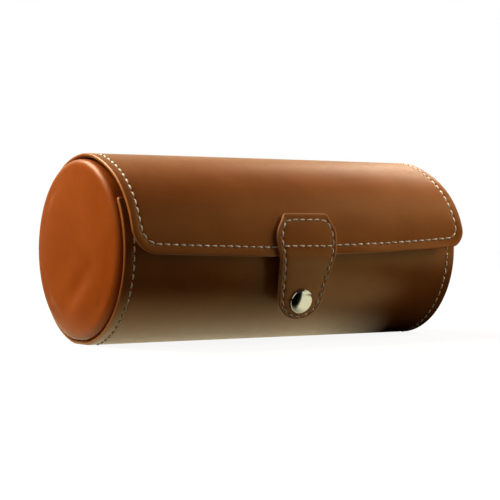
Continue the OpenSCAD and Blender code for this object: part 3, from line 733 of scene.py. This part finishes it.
def strap_half(drop):
    """Half the strap's width at a drop below its top edge: it widens, narrows and ends round."""
    side_end, tip = 42.5, 11.4
    if drop > side_end:
        across = max(0.0, 1 - ((drop - side_end) / tip) ** 2)
        return (19.4 - 0.137 * side_end) * math.sqrt(across)
    widening, narrowing = 13.3 + 0.52 * drop, 19.4 - 0.137 * drop
    return -math.log(math.exp(-1.2 * widening) + math.exp(-1.2 * narrowing)) / 1.2


def strap_line(z):
    """How far forward the strap's outer face is at a height above the axis: round the flap, then
    straight and leaning in from the flap's edge down."""
    radius = FLAP_R + STRAP_T
    on_flap = FLAP_Y - np.sqrt(radius ** 2 - (np.maximum(z, BEND_Z) - FLAP_Z) ** 2)
    hanging = BEND_Y + (BEND_Z - z) * math.tan(STRAP_LEAN)
    gap = hanging - on_flap
    return on_flap + (gap + np.sqrt(gap ** 2 + 0.8)) / 2 - 0.45 * np.exp(-(gap / 2) ** 2)


def strap_place(pinch):
    """Puts (x, drop below the strap's top edge) on the strap."""
    def place(flat, depth, inset=INSIDE, along=0):
        drop = flat[:, 1]
        z = STRAP_TOP - drop
        slope = (strap_line(z + 0.05) - strap_line(z - 0.05)) / 0.1
        out = unit(np.column_stack([np.zeros(len(z)), -np.ones(len(z)), slope]))
        down = np.full(len(flat), float(depth))
        if pinch and depth == 0:
            down += pulled(inset, along, STRAP_ROW, STRAP_PITCH, 0.10, 0.8)
        wider = 0.055 * np.exp(-((drop - 17) / 6) ** 2) - 0.085 * np.exp(-(drop / 5) ** 2)
        x = flat[:, 0] * np.where(flat[:, 0] < 0, 1 + wider, 1.0)
        points = np.column_stack([STRAP_X + x, strap_line(z), AXIS_Z + z])
        return points - out * down[:, None]
    return place


def strap_ring(inset):
    """The strap's border lines, with rounded top corners, as sheet_points() takes them."""
    columns, rows = 34, 66
    drops = np.linspace(0, STRAP_DROP, 240)
    side = np.array([(strap_half(d), d) for d in drops])
    way = unit(np.gradient(side, axis=0))
    side = side + inset * np.column_stack([-way[:, 1], way[:, 0]])
    side[:, 1] += 0.4 * inset * step(drops, 42, 52)  # and nearer the edge at the tip
    r = max(2.4 - inset, 0.3)
    top = 1.48 * inset                   # the stitched row lies further in along the top
    side = side[(side[:, 0] >= 0) & (side[:, 1] >= top + r)]
    bend = arc(r, 90, 10, 7) * [1, -1] + [side[0, 0] - r, top + r]
    outline = np.concatenate([[(0, top)], bend, side, [(0, STRAP_DROP - 0.6 * inset)]])
    run = runs(outline)
    corner_run = np.interp(side[0, 1] - r * 0.4, outline[:, 1][3:30], run[3:30])
    tip_run = run[-1] - 14.0 + inset * 0.5
    right = even(outline, rows, corner_run, tip_run)
    near = even(outline, columns // 2, 0, corner_run)
    far = even(outline, columns // 2, tip_run)
    mirror = np.array([-1, 1])
    return (right * mirror, np.concatenate([far * mirror, far[::-1][1:]]), right,
            np.concatenate([near[::-1] * mirror, near[1:]]))


def strap_blend(piece):
    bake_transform(piece)


def make_strap():
    near_row = [STRAP_ROW + gap for gap in (1.4, 0.9, 0.5, 0.2, 0, -0.2, -0.5, -0.9, -1.4)]
    for name, top, bottom, edge, nodes in (
            ("strap_front", 0.0, STRAP_HIDE, 0.0, ("strap_anchor", "strap_tongue")),
            ("strap_back", STRAP_HIDE - 0.02, STRAP_T - 0.03, 0.1,
             ("strap_anchor_backing", "strap_tongue_backing"))):
        bend = rounded(min(0.3, (bottom - top) / 2 - 0.02), 6)
        section = [(inset, top) for inset in (6.0, *near_row, 0.55)]
        section += [(inset, top + depth) for inset, depth in bend]
        section += [(inset, bottom - depth) for inset, depth in bend[::-1]]
        section += [(1.5, bottom), (6.0, bottom)]
        section = [(inset + edge, depth) for inset, depth in section]
        layer = solid(name, STRAP, None,
                      *sheet_points(strap_ring, section, strap_place(top == 0), False, STRAP_RUB_AND_HIGHLIGHT))
        strap_blend(layer)
        stand_for(layer, "saddle_leather", *nodes)

    left, far, right, near = strap_ring(STRAP_ROW)
    middle = len(near) // 2
    line = np.concatenate([near[middle:], right[1:], far[::-1][1:], left[::-1][1:],
                           near[1:middle + 1]])
    row_drop = STRAP_TOP - 1.9           # the lid's front row goes on across the strap
    half = strap_half(row_drop) - STRAP_ROW - 0.2
    across = np.array([(-half, row_drop), (half, row_drop)])
    place = strap_place(False)
    sew("strap", None, [stitch_row(place, line, STRAP_PITCH, STRAP_THREAD_R, closed=True),
                        stitch_row(place, across)],
        "strap_anchor_stitching", "strap_tongue_stitching")


# ---- snap ----

def make_snap():
    """The domed cap with its rounded rim; the socket, spring, stud and post are the CAD's own."""
    down = Vector((0, math.sin(STRAP_LEAN), -math.cos(STRAP_LEAN)))
    out = Vector((0, -math.cos(STRAP_LEAN), -math.sin(STRAP_LEAN)))
    centre = Vector((STRAP_X, BEND_Y, AXIS_Z + BEND_Z)) + down * SNAP_DOWN
    side = out.orthogonal().normalized()
    dome = [(SNAP_H - r * r / (2 * DOME_R), r) for r in np.linspace(0, SNAP_R - 0.55, 16)]
    rim = [(1.10, SNAP_R - 0.26), (0.90, SNAP_R - 0.11), (0.62, SNAP_R - 0.02), (0.3, SNAP_R),
           (0.05, SNAP_R), (-0.1, SNAP_R - 0.25), (-0.1, 4.0)]
    post_end = -STRAP_T - 0.7
    post = [(-0.1, POST_R), (post_end, POST_R), (post_end, 0)]
    points, faces = closed_skin(circle(96), dome + rim + post)
    points = np.array(centre) + points @ np.array([out, side, out.cross(side)])
    stand_for(solid("snap_dome", NICKEL, "strap", points, faces), "nickel", "snap_cap")
    for name in ("socket", "spring", "stud", "post"):
        paint("snap_" + name, NICKEL)


# ---- simulated padding ----

def puff(points, faces, held, pressure, cap, relax=0):
    """Blows a thin skin up with Blender's cloth solver and returns its points. The held ones, at
    seams and edges, stay, and no point moves further than the cap in millimetres. Each lap of
    relax evens the shift out between neighbours, as a firm hide does."""
    scale = 0.01                         # the solver suits a thing about a metre across
    skin = add("skin", smooth_mesh("skin", points * scale, faces))
    pins = skin.vertex_groups.new(name="held")
    pins.add(np.flatnonzero(held).tolist(), 1.0, "REPLACE")
    cloth = skin.modifiers.new("Cloth", "CLOTH").settings
    cloth.vertex_group_mass = "held"
    cloth.use_pressure = True
    cloth.uniform_pressure_force = pressure
    cloth.effector_weights.gravity = 0
    cloth.quality = 6
    for count in range(1, 21):
        scene.frame_set(count)
    result = skin.evaluated_get(bpy.context.evaluated_depsgraph_get()).to_mesh()
    shift = np.array([vertex.co[:] for vertex in result.vertices]) / scale - points
    bpy.data.objects.remove(skin)
    scene.frame_set(1)
    edges = np.unique(np.sort([(face[k - 1], face[k]) for face in faces
                               for k in range(len(face))], axis=1), axis=0)
    count = np.bincount(edges.ravel(), minlength=len(points))[:, None]
    for lap in range(relax):
        total = np.zeros_like(shift)
        np.add.at(total, edges[:, 0], shift[edges[:, 1]])
        np.add.at(total, edges[:, 1], shift[edges[:, 0]])
        shift = np.where(held[:, None], 0.0, (shift + total / count) / 2)
    size = np.maximum(np.linalg.norm(shift, axis=1), 1e-6)[:, None]
    return points + shift * (cap * np.tanh(size / cap) / size)


# ---- end caps ----

def crease(y, z):
    """The soft diagonal fold low on the left pad, with the swell under it."""
    across = 0.57 * (y + 4) + 0.82 * (z + 19)
    run = 0.82 * (y + 4) - 0.57 * (z + 19)
    fold = 0.75 * np.exp(-(across / 4.5) ** 2 - (run / 17) ** 2)
    return fold - 0.35 * np.exp(-((across + 9) / 6) ** 2 - (run / 20) ** 2)


def make_end_caps():
    radius = TUBE_R - SHELL_LINED - 0.05
    proud, wall, hide, shoulder, foam_back = 3.0, 13.9, 0.9, 3.0, 4.0
    quarter = 28

    def ring(inset):
        return [arc(radius - inset, start, end, quarter)
                for start, end in ((225, 135), (135, 45), (-45, 45), (225, 315))]

    def bend_at(thick):
        """Steps over the face and round the shoulder, at a depth under the leather's outside."""
        return [(inset, thick) for inset in (9.0, 6.0, 4.4)] + [
            (thick + inset, thick + depth) for inset, depth in rounded(shoulder - thick, 9)]
    outer, inner = (bend_at(thick) + [(thick, depth) for depth in (5, 8, wall)]
                    for thick in (0.0, hide))

    for side, name in ((-1, "left"), (1, "right")):
        def place(flat, depth, inset=INSIDE, along=0):
            away = np.linalg.norm(flat, axis=1) / radius
            lift = 0.35 * (1 - away ** 4) - (crease(*flat.T) if side < 0 else 0)
            lift *= 1 - step(depth, 1.0, foam_back)
            z = np.maximum(AXIS_Z + flat[:, 1], SHELL_LINED + 0.05)
            x = side * (TUBE_HALF + proud - depth - 0.35 + lift)
            return np.column_stack([x, flat[:, 0], z])
        points, faces, wear_and_highlight, sharp = sheet_points(ring, outer + inner[::-1], place)
        rings = np.arange(8 * len(outer) * quarter).reshape(-1, 4 * quarter)
        grids = np.arange(rings.size, len(points)).reshape(2, -1)
        top = np.concatenate([rings[:len(outer)].ravel(), grids[0]])
        under = np.concatenate([rings[:len(outer) - 1:-1].ravel(), grids[1]])
        order = -np.ones(len(points), int)
        order[top] = np.arange(len(top))
        skin = [tuple(order[k] for k in face) for face in faces if all(order[k] >= 0 for k in face)]
        depths = np.repeat([depth for inset, depth in outer], 4 * quarter)
        held = np.concatenate([depths >= shoulder, np.zeros(grids.shape[1], bool)])
        moved = puff(points[top], skin, held, PAD_PRESSURE, cap=1.0, relax=30)
        shift = moved - points[top]
        points[top] += shift
        points[under] += shift
        pad = solid("end_pad_" + name, PAD, "case", points, faces)
        stand_for(pad, "pad_leather", f"end_cap_{name}_leather")

        steps = [(inset + 0.1, depth + 0.3) for inset, depth in bend_at(hide)]
        steps += [(hide + 0.1, foam_back), (9.0, foam_back)]
        foam = solid(f"end_pad_{name}_foam", FOAM, "case", *sheet_points(ring, steps, place))
        stand_for(foam, "foam", f"end_cap_{name}_foam")
        paint(f"end_cap_{name}_board", CARD)
        paint(f"end_cap_{name}_lining", SUEDE)


# ---- dividers and pillows ----

def make_dividers():
    """Cloth covered walls, round along their top edges."""
    for name in ("divider_left", "divider_right"):
        low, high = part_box(name)
        top, left, right = high.z / MM - AXIS_Z, low.x / MM, high.x / MM

        def ring(inset):
            r, height = TUBE_R - SHELL_LINED - 0.1 - inset, top - inset
            side = arc(r, -45, math.degrees(math.asin(height / r)), 24)
            corner = side[-1, 0]
            over = np.column_stack([np.linspace(-corner, corner, 31), np.full(31, height)])
            return side * [-1, 1], over, side, arc(r, 225, 315, 30)

        def place(flat, depth, inset=INSIDE, along=0):
            wave = 0.06 * np.sin(flat[:, 0] * 0.35) * np.sin(flat[:, 1] * 0.28)
            z = np.maximum(AXIS_Z + flat[:, 1], SHELL_LINED + 0.05)
            return np.column_stack([left + depth + wave, flat[:, 0], z])
        section = [(6, 0), (3, 0), *rounded(0.9, 7)]
        section += [(inset, right - left - depth) for inset, depth in section[::-1]]
        wall = solid(name + "_suede", SUEDE, "case", *sheet_points(ring, section, place))
        stand_for(wall, "suede_lining", name, name + "_board")


def pillow_outline(half, corner):
    """A closed outline with rounded corners, from the middle of its underside."""
    points = [(0, -half[1])]
    for start, *side in ((-90, 1, -1), (0, 1, 1), (90, -1, 1), (180, -1, -1)):
        points.extend(arc(corner, start, start + 90, 16) + side * (half - corner))
    return even([*points, points[0]], 80)[:-1]


def make_pillow(where):
    """A padded tube of suede with a round panel at each end, piped seams and a foam core."""
    body = "pillow_" + where
    low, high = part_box(body + "_cover")
    centre, half = (np.array(low) + high) / 2 / MM, (np.array(high) - low) / 2 / MM
    small, piping, corner, bulge = 1.5, 0.8, 24.5, 1.1
    outline = pillow_outline(half[1:] - small, corner)
    count = len(outline)
    seam = half[0] - small - piping
    rows = [(x, 1 + 0.012 * (1 - (x / seam) ** 4)) for x in np.linspace(-seam, seam, 23)]
    panel = [(seam + bulge * math.sqrt(1 - share ** 2), share)
             for share in np.linspace(1, 0, 10)[1:]]
    points, faces = closed_skin(outline, [(-x, share) for x, share in panel[::-1]] + rows + panel)
    place_of = np.arange(len(points)) - 1
    held = place_of % count == 0
    for seam_ring in (len(panel) - 1, len(panel) + len(rows) - 2):
        held |= place_of // count == seam_ring
    points = puff(points, faces, held, PILLOW_PRESSURE, cap=1.2)
    cushion = solid(f"cushion_{where}", SUEDE, body, points + centre, faces)
    stand_for(cushion, "suede_lining", body + "_cover", body + "_ends")

    sides = 8
    index = np.arange(sides * count).reshape(count, sides)
    faces = grid_faces([*index, index[0]], True)
    cords = []
    for x in (-seam, seam):
        points = []
        for y, z in outline:
            out = unit(np.array([0, y, z]))
            for turn in np.arange(sides) * 2 * math.pi / sides:
                lift = piping * (0.35 + math.cos(turn))
                points.append(np.array([x + piping * math.sin(turn), y, z]) + out * lift + centre)
        cords.append((points, faces))
    cord = solid(f"cushion_{where}_piping", SUEDE, body, *join(cords))

    small, corner, tail = small + 1.2, corner - 1.2, seam - 1.4
    outline = pillow_outline(half[1:] - small, corner)
    rows = [(-tail, 0), (-tail, 0.5), (-tail, 0.93), (0.6 - tail, 0.985), (1.6 - tail, 1.0)]
    rows += [(0, 1.0)] + [(-x, share) for x, share in rows[::-1]]
    points, faces = closed_skin(outline, rows)
    core = solid(f"cushion_{where}_foam", FOAM, body, points + centre, faces)
    stand_for(core, "foam", body + "_core")


# ---- camera, floor and light ----

def make_camera():
    side, focal = 500, 1500              # picture side and focal length in pixels
    yaw, pitch = math.radians(32.68), math.radians(0.54)
    distance, aim = 799.9, Vector((-0.57, 0, AXIS_Z - 0.54))
    forward = Vector((math.sin(yaw) * math.cos(pitch), math.cos(yaw) * math.cos(pitch),
                      -math.sin(pitch)))
    data = bpy.data.cameras.new("camera")
    data.sensor_width = 36
    data.lens = 36 * focal / side
    data.clip_start = 0.01
    camera = add("camera", data)
    camera.location = (aim - forward * distance) * MM
    camera.rotation_euler = forward.to_track_quat("-Z", "Y").to_euler()
    scene.camera = camera


def ray_kinds(tree):
    """Whether a ray comes from the camera, whether it is mirrored or bent, and its tint."""
    path = node(tree, "LightPath").outputs
    camera = path["Is Camera Ray"]
    return (camera, most(tree, path["Is Glossy Ray"], path["Is Transmission Ray"]),
            mix(tree, camera, MIRROR_TINT, colour(1, 1, 1)))


def vector_math(tree, operation, *vectors):
    """The number that a vector operation gives."""
    made = node(tree, "VectorMath", dict(enumerate(vectors)), operation=operation)
    return made.outputs["Value"]


def make_floor():
    """White paper that keeps the case's shadow and fades to pure white away from it. Mirrored rays
    see only a white field below and behind the case, and in front the pale pool that the snap
    reflects."""
    reach = 4.0
    mesh = bpy.data.meshes.new("floor")
    mesh.from_pydata([(-reach, -reach, 0), (reach, -reach, 0), (reach, reach, 0),
                      (-reach, reach, 0)], [], [(0, 1, 2, 3)])
    floor = add("floor", mesh)
    material = bpy.data.materials.new("floor")
    material.use_nodes = True
    tree = material.node_tree
    tree.nodes.clear()
    place = node(tree, "TexCoord").outputs["Object"]
    across = node(tree, "SeparateXYZ", {0: place}).outputs
    seen = spread(tree, vector_math(tree, "LENGTH", place), 0.16, 0.42, FLOOR_GLOW, 1.0)

    field = spread(tree, across["Y"], -0.065, -0.025, 0.0, MIRROR_GLOW)
    # Painted shadow in reflections: the field stops past the case's right end, so the shell's lower
    # right mirrors a dark floor where the case's shadow falls.
    field = times(tree, field, spread(tree, across["X"], 0.03, 0.08, 1.0, 0.0))
    field = times(tree, field, spread(tree, across["X"], -0.14, -0.11))
    pool_glow = 0.75 * MIRROR_GLOW
    pool = spread(tree, vector_math(tree, "DISTANCE", place, (0.045, -0.090, 0)), 0.045, 0.06,
                  pool_glow, 0.0)
    pool = most(tree, pool, spread(tree, across["Y"], -0.16, -0.12, pool_glow, 0.0))
    beside = vector_math(tree, "DOT_PRODUCT", place, (0.88, 0.47, 0))
    pool = times(tree, pool, spread(tree, beside, -0.0285, -0.0245))

    camera, mirrored, tint = ray_kinds(tree)
    strength = most(tree, times(tree, camera, seen),
                    times(tree, mirrored, most(tree, field, pool)))
    paper = node(tree, "BsdfDiffuse", {"Color": colour(0.10, 0.097, 0.09)}).outputs[0]
    glow = node(tree, "Emission", {"Color": tint, "Strength": strength}).outputs[0]
    both = node(tree, "AddShader", {0: paper, 1: glow}).outputs[0]
    shown = node(tree, "MixShader", {0: mirrored, 1: both, 2: glow}).outputs[0]
    node(tree, "OutputMaterial", {"Surface": shown})
    mesh.materials.append(material)


def make_world():
    """A white room for the camera. Mirrored rays see white in three sectors, behind the case and
    to its right and left, and dim elsewhere. Other light from the room is faint."""
    world = bpy.data.worlds.new("studio")
    world.use_nodes = True
    tree = world.node_tree
    tree.nodes.clear()
    way = node(tree, "TexCoord").outputs["Generated"]

    def sector(toward, low, high, glow=1.0):
        """Glows towards a direction, from a low to a high cosine of the angle to it."""
        return spread(tree, vector_math(tree, "DOT_PRODUCT", way, toward), low, high, 0.0, glow)
    across = node(tree, "SeparateXYZ", {0: way}).outputs["X"]
    lit = times(tree, sector((0.45, 0.88, -0.15), 0.45, 0.85), spread(tree, across, -0.35, 0.0))
    lit = most(tree, lit, sector((0.95, -0.25, 0.2), 0.78, 0.88, 0.75))
    lit = most(tree, lit, sector((-0.78, -0.38, 0.49), 0.84, 0.93))
    camera, mirrored, tint = ray_kinds(tree)
    share = most(tree, camera, times(tree, mirrored, lit))
    room = node(tree, "Background", {"Color": colour(1.0, 0.98, 0.94), "Strength": ROOM_LIGHT})
    white = node(tree, "Background", {"Color": tint, "Strength": 1.0})
    shown = node(tree, "MixShader", {0: share, 1: room.outputs[0], 2: white.outputs[0]})
    node(tree, "OutputWorld", {"Surface": shown.outputs[0]})
    scene.world = world


def make_lights():
    for name, place, size, power, mirrored in LAMPS:
        data = bpy.data.lights.new(name, "AREA")
        data.shape = "RECTANGLE"
        data.size, data.size_y = size
        data.energy = power
        data.color = LAMP_TINT
        light = add(name, data)
        light.visible_glossy = mirrored
        light.location = place
        to_case = Vector((0, 0, AXIS_Z * MM)) - Vector(place)
        light.rotation_euler = to_case.to_track_quat("-Z", "Y").to_euler()


make_camera()
make_floor()
make_world()
make_lights()
make_shell()
make_hinge()
make_lid()
make_strap()
make_snap()
make_end_caps()
make_dividers()
paint("shell_board", CARD)
for side_name in ("left", "centre", "right"):
    make_pillow(side_name)

scene.view_settings.view_transform = "Standard"
